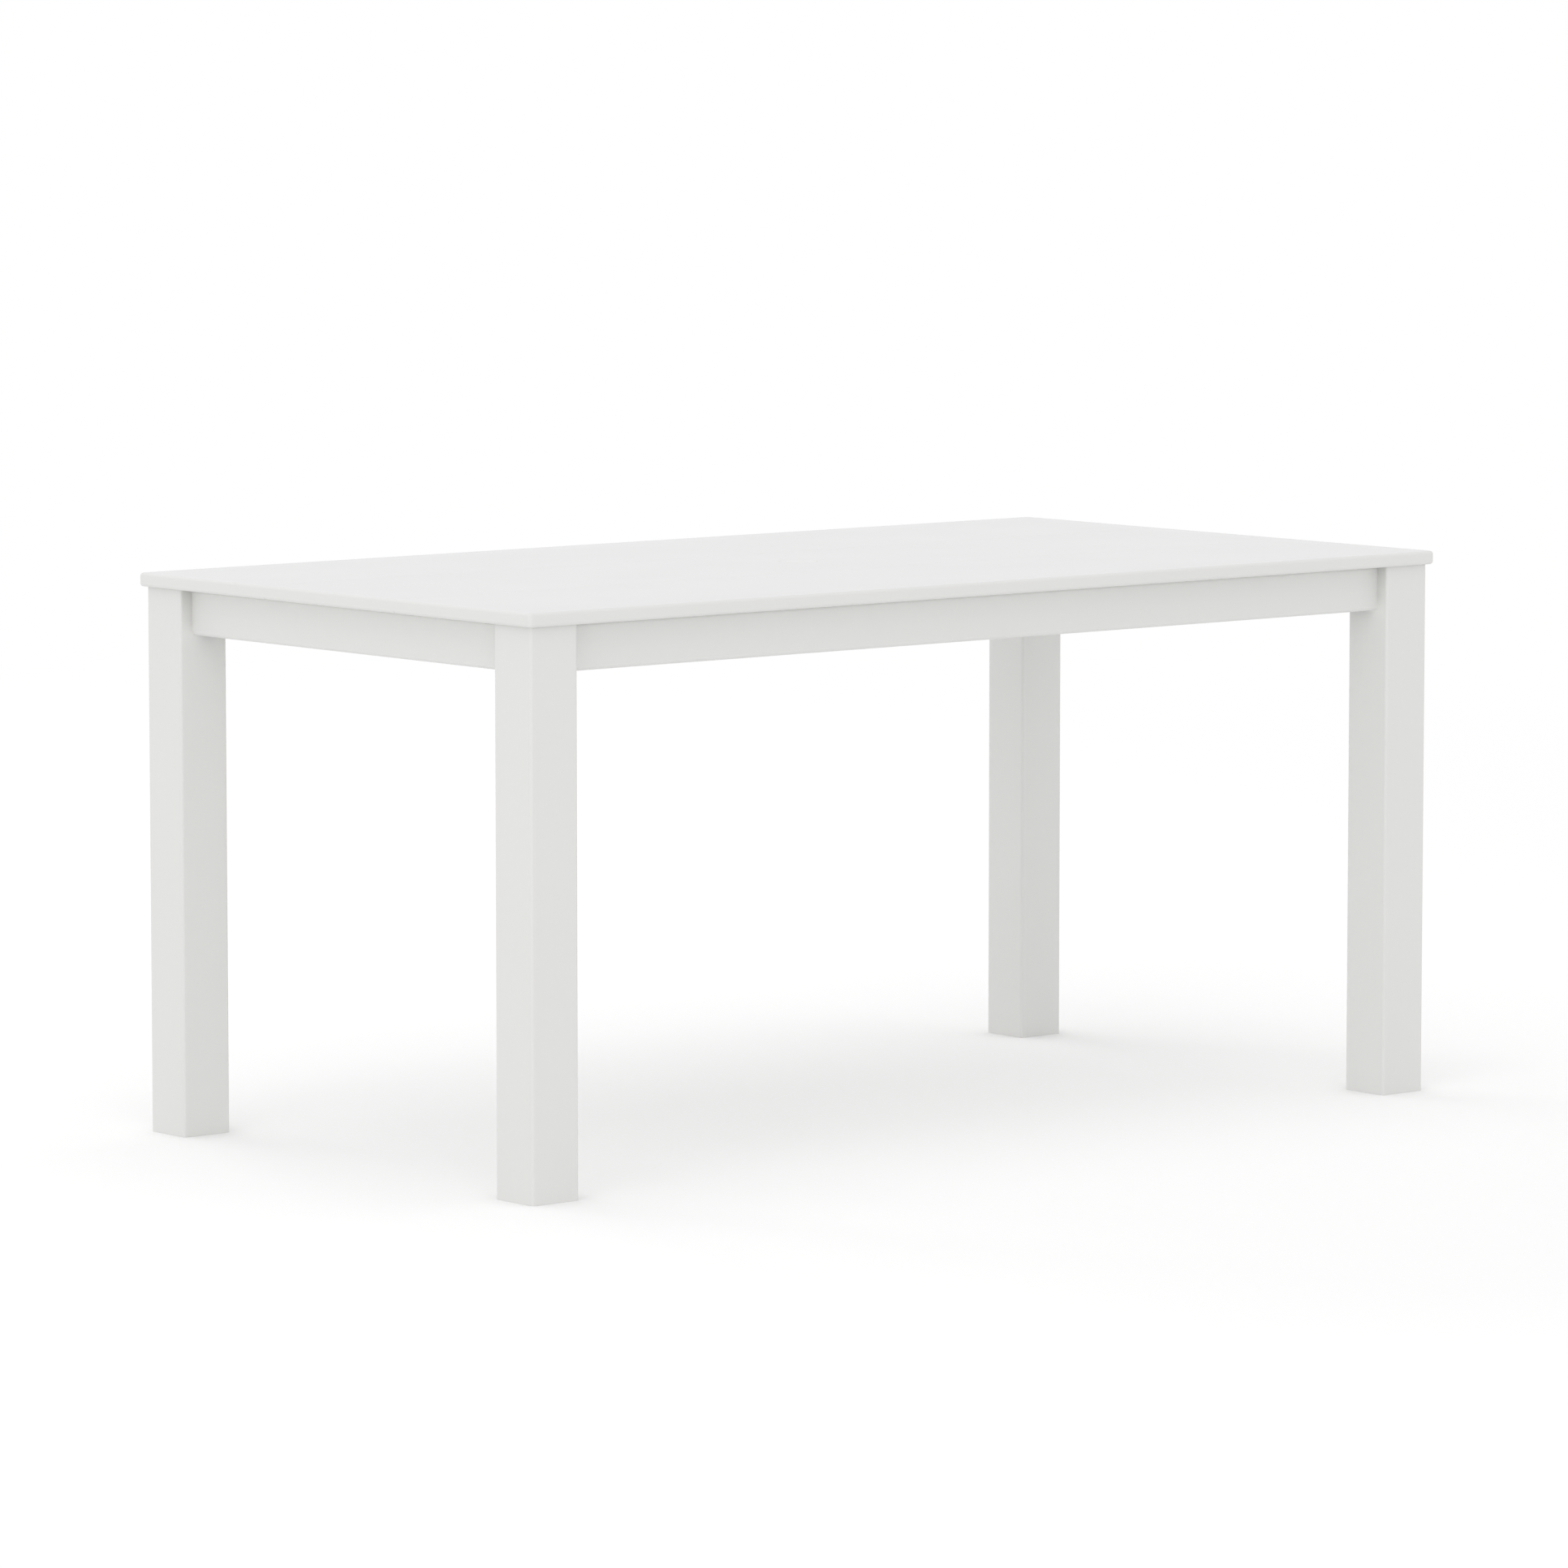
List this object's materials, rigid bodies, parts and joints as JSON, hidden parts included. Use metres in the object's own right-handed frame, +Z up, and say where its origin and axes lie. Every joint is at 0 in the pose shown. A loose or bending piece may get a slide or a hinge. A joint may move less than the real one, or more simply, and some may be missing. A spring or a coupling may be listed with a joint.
{
  "type": "outdoor dining table",
  "caption": "Rectangular outdoor dining table with a plank top, square corner legs, recessed aprons and a lift-out cap in its umbrella hole.",
  "frame": {"origin": "on the ground, under the middle of the top", "axes": "+X along the table's length, +Y across it, +Z up"},
  "size_m": [1.6256, 0.8628, 0.7702],
  "materials": {
    "white_lumber": "satin extruded plastic lumber, faintly textured",
    "cap_plastic": "satin moulded plastic",
    "stainless_steel": "plain stainless steel"
  },
  "bodies": {
    "table": {"angle_bracket_screws": "stainless_steel", "angle_brackets": "stainless_steel", "apron_rail_back": "white_lumber", "apron_rail_front": "white_lumber", "apron_rail_left": "white_lumber", "apron_rail_right": "white_lumber", "batten_centre": "white_lumber", "batten_left_inner": "white_lumber", "batten_left_outer": "white_lumber", "batten_right_inner": "white_lumber", "batten_right_outer": "white_lumber", "batten_screws": "stainless_steel", "bolt_nuts": "stainless_steel", "bolt_washers": "stainless_steel", "corner_bracket_back_left": "stainless_steel", "corner_bracket_back_right": "stainless_steel", "corner_bracket_front_left": "stainless_steel", "corner_bracket_front_right": "stainless_steel", "corner_bracket_screws": "stainless_steel", "hanger_bolts": "stainless_steel", "leg_back_left": "white_lumber", "leg_back_right": "white_lumber", "leg_front_left": "white_lumber", "leg_front_right": "white_lumber", "top_board_back": "white_lumber", "top_board_centre": "white_lumber", "top_board_front": "white_lumber"},
    "umbrella_cap": {"umbrella_hole_cap": "cap_plastic"}
  },
  "joints": [
    {"name": "cap_lift", "type": "slide", "parent": "table", "child": "umbrella_cap", "axis": [0, 0, 1], "range_m": [0, 0.06]}
  ]
}
